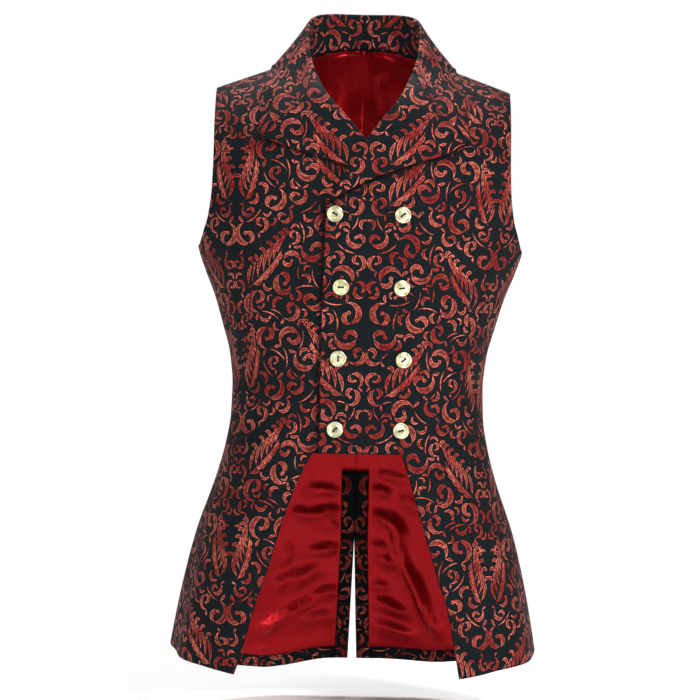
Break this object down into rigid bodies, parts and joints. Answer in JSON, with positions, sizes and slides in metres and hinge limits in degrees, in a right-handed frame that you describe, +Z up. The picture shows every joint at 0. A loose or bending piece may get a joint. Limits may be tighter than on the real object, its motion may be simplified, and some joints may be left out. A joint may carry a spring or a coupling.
{
  "type": "double-breasted waistcoat",
  "caption": "Sleeveless double-breasted brocade waistcoat with turned-down collar, wide lapels, metal buttons and a cut-away flared skirt with a back vent.",
  "frame": {"origin": "between the shoulders, at the height of the sides of the neck, in the middle of the body from side to side and at the side seams from front to back", "axes": "+Z up, +X towards the wearer's left, and the front faces -Y"},
  "size_m": [0.414, 0.2836, 0.7576],
  "materials": {
    "brocade": "black jacquard with a woven copper-red scroll pattern",
    "lining": "red satin",
    "button_metal": "pale gilt, polished"
  },
  "bodies": {
    "root": {"front_left": "brocade", "front_right": "brocade", "lapel_left": "brocade", "lapel_right": "brocade", "collar": "brocade", "back_left": "brocade", "back_right": "brocade", "vent_facing_left": "brocade", "vent_facing_right": "brocade", "hem_facing_left": "brocade", "hem_facing_right": "brocade", "back_lining_left": "lining", "back_lining_right": "lining", "button_inner_1": "button_metal", "button_outer_1": "button_metal", "button_inner_2": "button_metal", "button_outer_2": "button_metal", "button_inner_3": "button_metal", "button_outer_3": "button_metal", "button_inner_4": "button_metal", "button_outer_4": "button_metal"}
  },
  "joints": []
}
